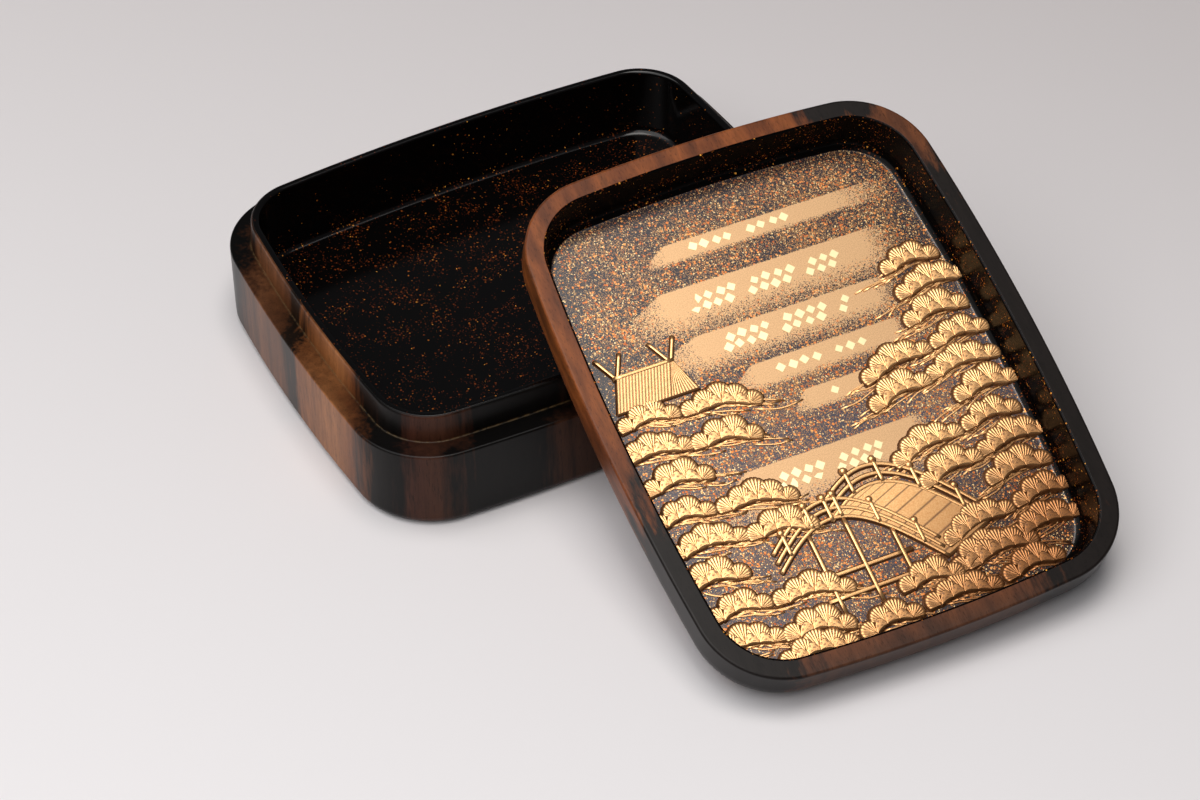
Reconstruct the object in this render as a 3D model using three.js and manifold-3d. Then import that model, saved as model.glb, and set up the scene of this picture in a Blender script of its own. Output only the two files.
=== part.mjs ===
// Incense box of striped black persimmon wood, in two pieces: a rounded rectangular box
// carved in one with its raised inner rim, and a shallow lid with a picture in low relief
// on its inside. The lid is off and lies inside up, one end on the table and its back on
// the box's front rim. Millimetres, +Z up; the origin is the middle of the box's underside
// and the box is longest along X.
import * as THREE from 'three';
import { mergeVertices } from 'three/addons/utils/BufferGeometryUtils.js';
import Module from 'manifold-3d';

const wasm = await Module();
wasm.setup();

// Plan outline, shared by the box and the lid: bulged sides and round corners.
const HALF_LENGTH = 42.5;
const HALF_WIDTH = 34.2;
const LONG_SIDE_RADIUS = 364;
const SHORT_SIDE_RADIUS = 275;
const CORNER_RADIUS = 12.7;
const LONG_SIDE_STEPS = 6;
const SHORT_SIDE_STEPS = 5;
const CORNER_STEPS = 8;

// Box: heights, and how far each wall lies inside the plan outline.
const SHOULDER_HEIGHT = 13.9;
const RIM_TOP_HEIGHT = 18.65;
const FLOOR_HEIGHT = 6.6;
const FOOT_ROUNDING = 1.6;
const RIM_BASE_INSET = 3.3;
const RIM_OUTER_INSET = 3.55;
const RIM_ROUNDING = 0.5;
const RIM_INNER_INSET = 4.9;
const INNER_WALL_INSET = 5.2;
const FLOOR_FILLET = 1.2;
const EDGE_EASE = 0.35;

// Lid, in its own frame: the mating ring lies at z = 0 and the hollow opens upwards.
const LID_HEIGHT = 8.8;
const HOLLOW_DEPTH = 7.0;
const TOP_EDGE_ROUNDING = 4.9;
const RING_WIDTH = 3.1;
const RING_INNER_EASE = 0.3;
const HOLLOW_DRAFT = 0.4;
const HOLLOW_FILLET = 1.4;

// Where the lid lies: its middle in plan, and its turns in degrees about Z, X and Y.
const LID_CENTRE = { x: 18.6, y: -51.1 };
const LID_TURN = -4.5;
const LID_LEAN = 20.4;
const LID_ROLL = -2.9;
const TABLE_GAP = 0.02;

// Relief on the lid's inner floor. Picture frame: X to the right, Y up, Z out of the floor.
const RELIEF_HEIGHT = 0.6;
const RELIEF_SINK = 0.3;

// Pine clumps: arched caps of fans in rows along both banks and the near shore.
const CLUMP_WIDTH = 10.4;
const CLUMP_HEIGHT = 4.8;
const CLUMP_WRAP = 0.1;
const CLUMP_CROWN = 0.25;
const CLUMP_SPACING = 8.3;
const BANK_MARGIN = 24.4;
const INWARD_DROP = 2.1;
const LEFT_BANK = { side: -1, top: 3.6, pitch: 5.2, rows: [2, 3, 2, 1, 1, 2, 2, 2] };
const RIGHT_BANK = { side: 1, top: 15.4, pitch: 4.6, rows: [1, 1, 1, 2, 3, 2, 2, 2, 1, 2, 1] };
const NEAR_SHORE = [
  { first: 1.6, count: 2, y: -33.2 },
  { first: -4.4, count: 3, y: -36.8 },
  { first: 22.0, count: 1, y: -34.9 },
];

// Arched bridge, drawn as an oblique view: a near side, and a far side beyond the deck.
const BRIDGE_START = { x: -17.5, y: -21.8 };
const BRIDGE_END = { x: 7.6, y: -31.6 };
const BRIDGE_RISE = 7.9;
const BRIDGE_DEPTH = { x: 9.0, y: 2.3 };
const BRIDGE_STEPS = 14;
const NEAR_DECK_FROM = 0.45;
const FAR_SIDE_FROM = 0.1;
const RAIL_HEIGHTS = [3.2, 1.9];
const RAIL_WIDTH = 0.5;
const POSTS = 5;
const POST_RISE = 3.9;
const KNOB_WIDTH = 1.1;
const DECK_RELIEF = 0.35;
const PILE_PLACES = [0.34, 0.52, 0.7];
const PILE_FOOT = -32.6;
const BEAM_HEIGHTS = [-25.6, -30.0];
const BEAM_HALF_LENGTH = 3.4;

// Thatched roof with forked finials, at the left wall.
const ROOF = { left: -28.6, right: -16.2, eaves: 6.2, ridge: 11.4, ridgeInset: 2.2 };
const FINIAL_RISE = 3.7;
const FINIAL_SPREAD = 2.0;
const FINIAL_WIDTH = 0.45;

const radians = THREE.MathUtils.degToRad;

// Points along an arc, from one angle to another, both ends included.
function arc(centre, radius, from, to, steps) {
  return Array.from({ length: steps + 1 }, (_, i) => {
    const angle = from + ((to - from) * i) / steps;
    return [centre[0] + radius * Math.cos(angle), centre[1] + radius * Math.sin(angle)];
  });
}

// Centre of the corner arc in the first quadrant, which meets both side arcs smoothly:
// it lies where two circles cross, one about each side arc's centre.
function cornerCentre() {
  const long = [0, HALF_WIDTH - LONG_SIDE_RADIUS];
  const short = [HALF_LENGTH - SHORT_SIDE_RADIUS, 0];
  const reachLong = LONG_SIDE_RADIUS - CORNER_RADIUS;
  const reachShort = SHORT_SIDE_RADIUS - CORNER_RADIUS;
  const apart = Math.hypot(short[0] - long[0], short[1] - long[1]);
  const along = (reachLong ** 2 - reachShort ** 2 + apart ** 2) / (2 * apart);
  const aside = Math.sqrt(reachLong ** 2 - along ** 2);
  const unit = [(short[0] - long[0]) / apart, (short[1] - long[1]) / apart];
  return [
    long[0] + unit[0] * along + unit[1] * aside,
    long[1] + unit[1] * along - unit[0] * aside,
  ];
}

// The plan outline drawn in by an inset, counter-clockwise, one point per step.
function planOutline(inset) {
  const corner = cornerCentre();
  const long = [0, HALF_WIDTH - LONG_SIDE_RADIUS];
  const short = [HALF_LENGTH - SHORT_SIDE_RADIUS, 0];
  const endOfShort = Math.atan2(corner[1], corner[0] - short[0]);
  const startOfLong = Math.atan2(corner[1] - long[1], corner[0]);
  const quarter = [
    ...arc(short, SHORT_SIDE_RADIUS - inset, 0, endOfShort, SHORT_SIDE_STEPS),
    ...arc(corner, CORNER_RADIUS - inset, endOfShort, startOfLong, CORNER_STEPS).slice(1),
    ...arc(long, LONG_SIDE_RADIUS - inset, startOfLong, Math.PI / 2, LONG_SIDE_STEPS).slice(1),
  ];
  const left = quarter.slice(0, -1).reverse().map(([x, y]) => [-x, y]);
  const upper = [...quarter, ...left];
  const lower = upper.slice(1, -1).map(([x, y]) => [-x, -y]);
  return [...upper, ...lower];
}

// A wasm solid from a closed geometry, and back.
function toSolid(geometry) {
  const bare = geometry.clone();
  bare.deleteAttribute('normal');
  bare.deleteAttribute('uv');
  const merged = mergeVertices(bare, 1e-4);
  return new wasm.Manifold(
    new wasm.Mesh({
      numProp: 3,
      vertProperties: new Float32Array(merged.attributes.position.array),
      triVerts: new Uint32Array(merged.index.array),
    }),
  );
}

function toGeometry(solid) {
  const { vertProperties, triVerts } = solid.getMesh();
  const geometry = new THREE.BufferGeometry();
  geometry.setAttribute('position', new THREE.BufferAttribute(vertProperties, 3));
  geometry.setIndex(new THREE.BufferAttribute(triVerts, 1));
  return geometry;
}

// A closed surface from rows of points that run once round it, and from a first and a
// last middle point that close its two ends.
function closedRings(rings, first, last) {
  const count = rings[0].length;
  const points = [first, ...rings.flat(), last];
  const faces = [];
  for (let i = 0; i < count; i += 1) {
    const next = (i + 1) % count;
    faces.push([0, 1 + next, 1 + i]);
    for (let row = 1; row < rings.length; row += 1) {
      const low = 1 + (row - 1) * count;
      const high = 1 + row * count;
      faces.push([low + i, low + next, high + next]);
      faces.push([low + i, high + next, high + i]);
    }
    const top = 1 + (rings.length - 1) * count;
    faces.push([top + i, top + next, points.length - 1]);
  }
  const geometry = new THREE.BufferGeometry();
  geometry.setAttribute('position', new THREE.Float32BufferAttribute(points.flat(), 3));
  geometry.setIndex(faces.flat());
  return geometry;
}

// A body whose every ring follows the plan outline. The profile's points are an inset and
// a height, from the underside over the outside and the rim down to the inner floor.
function outlineBody(profile) {
  const rings = profile.map(([inset, z]) => planOutline(inset).map(([x, y]) => [x, y, z]));
  return closedRings(rings, [0, 0, profile[0][1]], [0, 0, profile.at(-1)[1]]);
}

function boxGeometry() {
  const innerFloor = FLOOR_HEIGHT;
  const rimRound = RIM_TOP_HEIGHT - RIM_ROUNDING;
  const fillet = [INNER_WALL_INSET + FLOOR_FILLET, innerFloor + FLOOR_FILLET];
  return outlineBody([
    ...arc([FOOT_ROUNDING, FOOT_ROUNDING], FOOT_ROUNDING, -Math.PI / 2, -Math.PI, 3),
    [0, SHOULDER_HEIGHT - EDGE_EASE],
    [EDGE_EASE, SHOULDER_HEIGHT],
    [RIM_BASE_INSET, SHOULDER_HEIGHT],
    ...arc([RIM_OUTER_INSET + RIM_ROUNDING, rimRound], RIM_ROUNDING, Math.PI, Math.PI / 2, 2),
    ...arc([RIM_INNER_INSET - RIM_ROUNDING, rimRound], RIM_ROUNDING, Math.PI / 2, 0, 2),
    ...arc(fillet, FLOOR_FILLET, -Math.PI, -Math.PI / 2, 3),
  ]);
}

// The lid is longest along its own Y, the picture's height.
function lidShell() {
  const rounding = TOP_EDGE_ROUNDING;
  const wall = RING_WIDTH + HOLLOW_DRAFT;
  const fillet = [wall + HOLLOW_FILLET, HOLLOW_FILLET - HOLLOW_DEPTH];
  const shell = outlineBody([
    ...arc([rounding, rounding - LID_HEIGHT], rounding, -Math.PI / 2, -Math.PI, 4),
    [0, -EDGE_EASE],
    [EDGE_EASE, 0],
    [RING_WIDTH - RING_INNER_EASE, 0],
    [RING_WIDTH, -RING_INNER_EASE],
    ...arc(fillet, HOLLOW_FILLET, -Math.PI, -Math.PI / 2, 3),
  ]);
  return shell.rotateZ(Math.PI / 2);
}

// A flat figure with upright sides, from a shape in the picture frame.
function plate(outline, height) {
  const shape = new THREE.Shape(outline.map(([x, y]) => new THREE.Vector2(x, y)));
  const geometry = new THREE.ExtrudeGeometry(shape, {
    depth: height + RELIEF_SINK,
    bevelEnabled: false,
  });
  return geometry.translate(0, 0, -HOLLOW_DEPTH - RELIEF_SINK);
}

// A bar of even width along a line of points in the picture frame.
function bar(points, width, height) {
  const sideways = points.map((_, i) => {
    const before = points[Math.max(i - 1, 0)];
    const after = points[Math.min(i + 1, points.length - 1)];
    const length = Math.hypot(after[0] - before[0], after[1] - before[1]);
    const half = width / 2 / length;
    return [(before[1] - after[1]) * half, (after[0] - before[0]) * half];
  });
  const right = points.map(([x, y], i) => [x - sideways[i][0], y - sideways[i][1]]);
  const left = points.map(([x, y], i) => [x + sideways[i][0], y + sideways[i][1]]);
  return plate([...right, ...left.reverse()], height);
}

// A point on a clump: along runs from 0 at its left end to 1 at its right end, and out
// from 0 on its hollow lower edge to 1 on its scalloped upper edge, which wraps down a
// little past both ends. Each scallop is one fan, and the middle fans are the widest.
function clumpPoint(along, out, { width, height, fans }) {
  const warped = along + 0.05 * Math.sin(2 * Math.PI * along);
  const scallop = Math.abs(Math.sin(Math.PI * fans * warped)) ** 0.6;
  const angle = Math.PI * (1 + CLUMP_WRAP - (1 + 2 * CLUMP_WRAP) * along);
  const upper = [
    (width / 2) * Math.cos(angle) * (0.87 + 0.13 * scallop),
    height * (0.24 + 0.76 * Math.sin(angle)) * (0.81 + 0.19 * scallop),
  ];
  const lower = [width * 0.44 * (2 * along - 1), height * 0.2 * Math.sin(Math.PI * along)];
  return [0, 1].map((axis) => lower[axis] + (upper[axis] - lower[axis]) * out);
}

// One pine clump, with its middle raised a little above its edge.
function clump(form) {
  const { x, y, tilt, fans, lift } = form;
  const steps = fans * 3;
  const upper = Array.from({ length: steps + 1 }, (_, i) => [i / steps, 1]);
  const lower = Array.from({ length: 5 }, (_, i) => [1 - (i + 0.5) / 5, 0]);
  const place = ([along, out]) => {
    const [px, py] = clumpPoint(along, out, form);
    return [
      x + px * Math.cos(tilt) - py * Math.sin(tilt),
      y + px * Math.sin(tilt) + py * Math.cos(tilt),
    ];
  };
  const edge = [...upper, ...lower].map(place).reverse();
  const ring = (z) => edge.map(([px, py]) => [px, py, z]);
  const middle = place([0.5, 0.5]);
  const base = -HOLLOW_DEPTH - RELIEF_SINK;
  const top = -HOLLOW_DEPTH + RELIEF_HEIGHT + lift;
  return closedRings([ring(base), ring(top)], [...middle, base], [...middle, top + CLUMP_CROWN]);
}

// Clumps of one bank: rows from the top down, each from the wall inwards, with the inner
// clumps lower and leaning down into the picture.
function bankClumps({ side, top, pitch, rows }) {
  return rows.flatMap((count, row) =>
    Array.from({ length: count }, (_, i) => {
      const shift = row % 2 ? 1.3 : -0.7;
      return {
        x: side * (BANK_MARGIN - shift - CLUMP_SPACING * i),
        y: top - pitch * row - INWARD_DROP * i,
        tilt: side * radians(3 + 9 * i),
        width: CLUMP_WIDTH * (0.96 + 0.06 * ((row + i) % 3)),
        height: CLUMP_HEIGHT * (1 - 0.08 * ((row + 2 * i) % 2)),
        fans: 4 + ((row + i) % 2),
        lift: 0.07 * (row % 2) + 0.03 * i,
      };
    }),
  );
}

function nearShoreClumps() {
  return NEAR_SHORE.flatMap(({ first, count, y }, row) =>
    Array.from({ length: count }, (_, i) => ({
      x: first + (CLUMP_SPACING + 0.7) * i,
      y: y + 0.4 * i,
      tilt: radians(6 * (i % 2) - 3),
      width: CLUMP_WIDTH,
      height: CLUMP_HEIGHT * 0.92,
      fans: 4 + ((row + i) % 2),
      lift: 0.1 + 0.04 * (row % 2),
    })),
  );
}

// A point of the bridge: along runs 0 to 1 over the span, far is 0 on the near side and
// 1 on the far side, and up is a height above the deck.
function bridgePoint(along, far, up) {
  const rise = BRIDGE_RISE * Math.sin(Math.PI * along) + up;
  return [
    BRIDGE_START.x + (BRIDGE_END.x - BRIDGE_START.x) * along + BRIDGE_DEPTH.x * far,
    BRIDGE_START.y + (BRIDGE_END.y - BRIDGE_START.y) * along + BRIDGE_DEPTH.y * far + rise,
  ];
}

function bridgeLine(far, up, from) {
  const steps = Math.round(BRIDGE_STEPS * (1 - from));
  return Array.from({ length: steps + 1 }, (_, i) =>
    bridgePoint(from + ((1 - from) * i) / steps, far, up),
  );
}

// The near side hides the deck's first part and the start of the far side.
function bridgeFigures() {
  const deck = [
    ...bridgeLine(0, 0, NEAR_DECK_FROM),
    ...bridgeLine(1, 0, FAR_SIDE_FROM).reverse(),
  ];
  const figures = [plate(deck, DECK_RELIEF)];
  for (const far of [0, 1]) {
    const from = far * FAR_SIDE_FROM;
    for (const height of [0, ...RAIL_HEIGHTS]) {
      figures.push(bar(bridgeLine(far, height, from), RAIL_WIDTH, RELIEF_HEIGHT - 0.06 * far));
    }
    for (let i = 0; i < POSTS; i += 1) {
      const along = (i + 0.5) / POSTS;
      const foot = bridgePoint(along, far, 0);
      const head = bridgePoint(along, far, POST_RISE);
      figures.push(bar([foot, head], RAIL_WIDTH, RELIEF_HEIGHT + 0.08));
      if (i % 2 === 0) {
        figures.push(plate(arc(head, KNOB_WIDTH / 2, 0, (Math.PI * 7) / 4, 7), RELIEF_HEIGHT));
      }
    }
  }
  for (const along of PILE_PLACES) {
    const [x, y] = bridgePoint(along, 0, 0);
    figures.push(bar([[x, PILE_FOOT], [x, y]], RAIL_WIDTH, RELIEF_HEIGHT - 0.1));
    for (const height of BEAM_HEIGHTS) {
      const beam = [[x - BEAM_HALF_LENGTH, height], [x + BEAM_HALF_LENGTH, height]];
      figures.push(bar(beam, RAIL_WIDTH, RELIEF_HEIGHT - 0.15));
    }
  }
  return figures;
}

function roofFigures() {
  const { left, right, eaves, ridge, ridgeInset } = ROOF;
  const ridgeEnds = [left + ridgeInset, right - ridgeInset];
  const thatch = [[left, eaves], [right, eaves], [ridgeEnds[1], ridge], [ridgeEnds[0], ridge]];
  const figures = [
    plate(thatch, RELIEF_HEIGHT),
    bar([[ridgeEnds[0] - 0.5, ridge], [ridgeEnds[1] + 0.5, ridge]], 0.7, RELIEF_HEIGHT + 0.1),
  ];
  for (const x of ridgeEnds) {
    for (const lean of [-FINIAL_SPREAD, FINIAL_SPREAD]) {
      const fork = [[x, ridge - 0.3], [x + lean, ridge + FINIAL_RISE]];
      figures.push(bar(fork, FINIAL_WIDTH, RELIEF_HEIGHT - 0.05));
    }
  }
  return figures;
}

function lidGeometry() {
  const clumps = [
    ...bankClumps(LEFT_BANK),
    ...bankClumps(RIGHT_BANK),
    ...nearShoreClumps(),
  ].map(clump);
  const figures = [...bridgeFigures(), ...roofFigures(), ...clumps];
  const solids = [lidShell(), ...figures].map(toSolid);
  return toGeometry(wasm.Manifold.union(solids));
}

// The lid's mesh, turned and laid down so that its lowest edge meets the table.
function layLid(mesh) {
  mesh.rotation.set(radians(LID_LEAN), radians(LID_ROLL), radians(LID_TURN), 'YXZ');
  mesh.position.set(LID_CENTRE.x, LID_CENTRE.y, 0);
  mesh.updateMatrixWorld();
  const points = mesh.geometry.attributes.position;
  const point = new THREE.Vector3();
  let lowest = Infinity;
  for (let i = 0; i < points.count; i += 1) {
    lowest = Math.min(lowest, point.fromBufferAttribute(points, i).applyMatrix4(mesh.matrixWorld).z);
  }
  mesh.position.z = TABLE_GAP - lowest;
  return mesh;
}

const persimmon = new THREE.MeshStandardMaterial({
  name: 'striped_black_persimmon',
  color: 0x3a2418,
  roughness: 0.35,
  metalness: 0,
});
const goldOnLacquer = new THREE.MeshStandardMaterial({
  name: 'gold_sprinkled_lacquer',
  color: 0x8a6236,
  roughness: 0.45,
  metalness: 0,
});

const box = new THREE.Mesh(boxGeometry(), persimmon);
box.name = 'box';
const lid = layLid(new THREE.Mesh(lidGeometry(), goldOnLacquer));
lid.name = 'lid';

const incenseBox = new THREE.Group();
incenseBox.add(box, lid);

export default incenseBox;
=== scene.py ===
"""Looks of a lidded incense box: striped black persimmon wood, black lacquer sprinkled
with gold, and a pine shore with an arched bridge in low gold relief inside the lid.
Sizes are in millimetres and become metres where a mesh is made."""
import math
import random

import bpy
import numpy as np
from mathutils import Matrix, Quaternion, Vector


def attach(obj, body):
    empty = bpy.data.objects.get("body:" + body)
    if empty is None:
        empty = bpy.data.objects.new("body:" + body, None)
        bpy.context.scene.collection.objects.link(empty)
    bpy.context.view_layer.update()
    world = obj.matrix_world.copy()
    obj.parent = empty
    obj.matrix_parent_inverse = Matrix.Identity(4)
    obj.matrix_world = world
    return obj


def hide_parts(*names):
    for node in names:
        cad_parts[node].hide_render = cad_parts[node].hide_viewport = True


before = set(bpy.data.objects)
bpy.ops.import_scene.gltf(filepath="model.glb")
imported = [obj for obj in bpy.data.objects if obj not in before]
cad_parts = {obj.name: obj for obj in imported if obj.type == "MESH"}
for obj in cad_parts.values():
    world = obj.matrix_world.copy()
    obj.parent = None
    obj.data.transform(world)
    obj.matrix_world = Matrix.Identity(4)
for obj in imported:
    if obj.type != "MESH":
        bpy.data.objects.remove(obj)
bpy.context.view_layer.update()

MM = 0.001
BODY = "root"

# Plan outline, shared by the box and the lid: bulged sides and round corners.
HALF_LENGTH = 42.5
HALF_WIDTH = 34.2
LONG_SIDE_RADIUS = 364.0
SHORT_SIDE_RADIUS = 275.0
CORNER_RADIUS = 12.7
LONG_SIDE_STEPS = 22
SHORT_SIDE_STEPS = 18
CORNER_STEPS = 26

# Box: heights, and how far each wall lies inside the plan outline.
SHOULDER_HEIGHT = 13.9
RIM_TOP_HEIGHT = 18.65
FLOOR_HEIGHT = 6.6
FOOT_ROUNDING = 1.6
RIM_BASE_INSET = 3.3
RIM_OUTER_INSET = 3.55
RIM_ROUNDING = 0.5
LACQUER_FROM = math.radians(115)
RIM_INNER_INSET = 4.9
INNER_WALL_INSET = 5.2
FLOOR_FILLET = 1.2
EDGE_EASE = 0.35
CREASE = 0.45
COAT = 0.1
CAP_INSET = 0.2

# Lid, in its own frame: the mating ring lies at z = 0 and the hollow opens upwards.
LID_HEIGHT = 8.8
HOLLOW_DEPTH = 7.0
TOP_EDGE_ROUNDING = 4.9
RING_WIDTH = 3.1
RING_INNER_EASE = 0.3
HOLLOW_DRAFT = 0.4
HOLLOW_FILLET = 1.4
RING_FLAT_END = 0.05
FLOOR_TOLERANCE = 0.04

# Where the lid lies: its middle in plan, and its turns in degrees about Z, X and Y.
LID_CENTRE = (18.6, -51.1)
LID_TURN = -4.5
LID_LEAN = 20.4
LID_ROLL = -2.9
TABLE_GAP = 0.02

# Relief on the lid's inner floor. Picture frame: X to the right, Y up, Z out of the floor.
RELIEF_HEIGHT = 0.5
# The dark skirt round each figure's foot is partly a drawn line, partly painted shade.
OUTLINE_WIDTH = 0.27
BASE_SINK = 0.15
WALL_BOX = (30.8, 39.1)
WALL_CORNER = 10.8
WALL_REACH = 0.5
SKIRT_START = 0.06
SKIRT_LIFT = 0.02

# Pine clumps: rounded fans of needles side by side, in rows along both banks and the near
# shore. Real needles lie some 0.33 mm apart; they are drawn at 0.6 mm so that they show.
CLUMP_SPACING = 11.0
BANK_MARGIN = 24.0
ROW_STAGGER = 1.6
INWARD_DROP = 1.3
LEFT_BANK = {"side": -1, "top": 4.0, "pitch": 5.3, "rows": 8, "doubled_from": 0}
RIGHT_BANK = {"side": 1, "top": 15.0, "pitch": 4.6, "rows": 11, "doubled_from": 3}
NEAR_SHORE = [(4.0, 2, -33.0), (-16.0, 4, -37.5)]
HUB_SPACING = 2.05
HUB_ARCH = 0.9
FAN_REACH = 3.45
FAN_ANGLE = math.radians(55)
AXIS_SPREAD = math.radians(46)
NEEDLES = 11
SAMPLES_PER_NEEDLE = 4
FAN_ROWS = (0.05, 0.2, 0.4, 0.6, 0.78, 0.9, 0.96, 1.0)
FAN_EDGE = (1.0, 1.0, 1.0, 1.0, 1.0, 0.98, 0.88, 0.55)
NEEDLE_DEPTH = 0.05
NEEDLE_NOTCH = 0.03
FAN_END_SHRINK = 0.24
FAN_UNEVEN = 0.05
FAN_ROUNDING = 0.3
FAN_STEP = 0.05
STEM_HEIGHT = 0.1
PATCH_HEIGHT = 1.5
CROSSED_NEEDLE = math.radians(28)
TWIGS = 9
TWIG_WIDTH = 0.24
TWIG_HEIGHT = 0.14
TWIG_RUN = (4.2, 7.6)
TWIG_DROP = (0.5, 2.0)
TWIG_BOW = 0.7
TWIG_WAVER = 0.06
TWIG_PLACES = (0, 0.17, 0.33, 0.5, 0.67, 0.83, 1)

# Arched bridge, drawn as an oblique view: a near side, and a far side beyond the deck.
BRIDGE_START = (-16.0, -24.0)
BRIDGE_END = (8.0, -30.0)
BRIDGE_RISE = 8.0
BRIDGE_DEPTH = (8.0, 3.0)
BRIDGE_STEPS = 48
NEAR_DECK_FROM = 0.45
FAR_SIDE_FROM = 0.1
RAIL_HEIGHTS = (3.0, 1.5)
RAIL_WIDTH = 0.56
POSTS = 5
POST_RISE = 3.6
POST_PROUD = 0.08
KNOB_WIDTH = 1.1
KNOB_LIFT = 0.25
KNOB_PROUD = 0.15
DECK_RELIEF = 0.35
PLANKS = 14
PLANK_GAP = 0.007
DECK_PLACES = (0, 0.03, 0.35, 0.65, 0.97, 1)
PILES = (0.25, 0.5, 0.75)
PILE_FOOT = -33.0
BEAM_HEIGHTS = (-27.0, -30.5)
BEAM_OVERRUN = 1.5

# Thatched roof with forked finials, at the left wall.
ROOF_LEFT = -28.0
ROOF_RIGHT = -15.0
ROOF_EAVES = 7.0
ROOF_RIDGE = 12.5
RIDGE_INSET = 2.2
FINIAL_RISE = 3.7
FINIAL_SPREAD = 2.0
FINIAL_WIDTH = 0.46
STRAW_SPACING = 0.5
STRAW_SAMPLES = 4
STRAW_GROOVE = 0.03
RIDGE_WIDTH = 0.62
RIDGE_OVERHANG = 0.5
ROOF_PLACES = (0, 0.02, 0.25, 0.5, 0.75, 0.98, 1)

# Mist bands of fine gold powder: middle height, half height, left and right ends of the
# full band, how far each end runs out beyond them, and how soft the lower edge is.
MIST_BANDS = [
    (29.0, 1.6, -10.0, 16.0, 4.0, 12.0, 0.25),
    (20.0, 3.2, -14.0, 18.0, 9.0, 6.0, 0.9),
    (12.5, 2.6, -12.0, 16.0, 10.0, 5.0, 0.7),
    (6.0, 2.0, -6.0, 16.0, 4.0, 4.0, 0.35),
    (0.0, 1.7, 0.0, 9.0, 3.0, 6.0, 0.3),
    (-11.0, 3.4, -14.0, 12.0, 8.0, 3.0, 0.8),
]
# Cut gold squares run along the middle of each band, in groups; broad bands have two rows.
SQUARE_PITCH = 1.9
SQUARE_GROUP = 5
SQUARE_INSET = 4.0
TWO_ROWS_FROM = 2.5
ROW_GAP = 1.5
SQUARE_SIDE = 1.18
SQUARE_THICKNESS = 0.07
SQUARE_JITTER = 0.12
SQUARE_SIZES = (0.86, 1.06)
SQUARE_APART = 1.25
BROKEN_SHARE = 0.1
BROKEN_TO = 0.35

# Camera and studio, in millimetres.
CAMERA_PLACE = (-173.8, -334.5, 341.1)
CAMERA_AIM = (-5.5, -29.2, 10.0)
LENS = 97.3
SENSOR = 36.0
CEILING = {"place": (-701, -220, 1110), "aim": (-701, -220, 0), "size": (1500, 1800),
           "power": 18.6, "colour": "#fffdfd", "turn": -35}
KEY = {"place": (20, -50, 1100), "aim": (20, -50, 0), "size": (500, 480),
       "power": 3.2, "colour": "#fffaf3"}
WORLD_STRENGTH = 0.18
PAPER_METRES = 6.0


def linear(code):
    """Linear RGBA of an sRGB hex colour."""
    parts = [int(code[i:i + 2], 16) / 255 for i in (1, 3, 5)]
    return tuple(p / 12.92 if p <= 0.04045 else ((p + 0.055) / 1.055) ** 2.4 for p in parts) + (1.0,)


def add(tree, kind, inputs=None, **settings):
    """One shader node with its settings; an input is a value or the socket that feeds it."""
    made = tree.nodes.new("ShaderNode" + kind)
    for name, value in settings.items():
        setattr(made, name, value)
    for key, value in (inputs or {}).items():
        if isinstance(value, bpy.types.NodeSocket):
            tree.links.new(value, made.inputs[key])
        else:
            made.inputs[key].default_value = value
    return made


def fill_ramp(ramp, stops):
    """Sets a colour ramp's stops, each a place and a hex colour."""
    elements = ramp.color_ramp.elements
    while len(elements) < len(stops):
        elements.new(1.0)
    for element, (place, code) in zip(elements, stops):
        element.position = place
        element.color = linear(code)


def new_material(name):
    """A node material and its tree, with its shader and output joined."""
    material = bpy.data.materials.new(name)
    material.use_nodes = True
    tree = material.node_tree
    tree.nodes.clear()
    shader = add(tree, "BsdfPrincipled")
    add(tree, "OutputMaterial", {"Surface": shader.outputs[0]})
    return material, tree, shader


# Shapes


def arc(centre, radius, start, end, steps):
    """Points along an arc, both ends included."""
    angles = [start + (end - start) * i / steps for i in range(steps + 1)]
    return [(centre[0] + radius * math.cos(a), centre[1] + radius * math.sin(a)) for a in angles]


def straight(start, end, steps=6):
    """Points along a straight line, both ends included."""
    return [
        tuple(a + (b - a) * i / steps for a, b in zip(start, end))
        for i in range(steps + 1)
    ]


def rotated(x, y, angle):
    """A place turned about the origin."""
    return x * math.cos(angle) - y * math.sin(angle), x * math.sin(angle) + y * math.cos(angle)


def corner_centre():
    """Centre of the corner arc in the first quadrant, which meets both side arcs smoothly."""
    long_side = Vector((0, HALF_WIDTH - LONG_SIDE_RADIUS))
    short_side = Vector((HALF_LENGTH - SHORT_SIDE_RADIUS, 0))
    reach_long = LONG_SIDE_RADIUS - CORNER_RADIUS
    reach_short = SHORT_SIDE_RADIUS - CORNER_RADIUS
    apart = (short_side - long_side).length
    unit = (short_side - long_side) / apart
    along = (reach_long ** 2 - reach_short ** 2 + apart ** 2) / (2 * apart)
    aside = math.sqrt(reach_long ** 2 - along ** 2)
    return long_side + unit * along + Vector((unit.y, -unit.x)) * aside


def plan_outline(inset):
    """The plan outline drawn in by an inset, counter-clockwise."""
    corner = corner_centre()
    long_side = (0, HALF_WIDTH - LONG_SIDE_RADIUS)
    short_side = (HALF_LENGTH - SHORT_SIDE_RADIUS, 0)
    end_short = math.atan2(corner.y, corner.x - short_side[0])
    start_long = math.atan2(corner.y - long_side[1], corner.x)
    quarter = (
        arc(short_side, SHORT_SIDE_RADIUS - inset, 0, end_short, SHORT_SIDE_STEPS)
        + arc(corner, CORNER_RADIUS - inset, end_short, start_long, CORNER_STEPS)[1:]
        + arc(long_side, LONG_SIDE_RADIUS - inset, start_long, math.pi / 2, LONG_SIDE_STEPS)[1:]
    )
    upper = quarter + [(-x, y) for x, y in reversed(quarter[:-1])]
    return upper + [(-x, -y) for x, y in upper[1:-1]]


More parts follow.
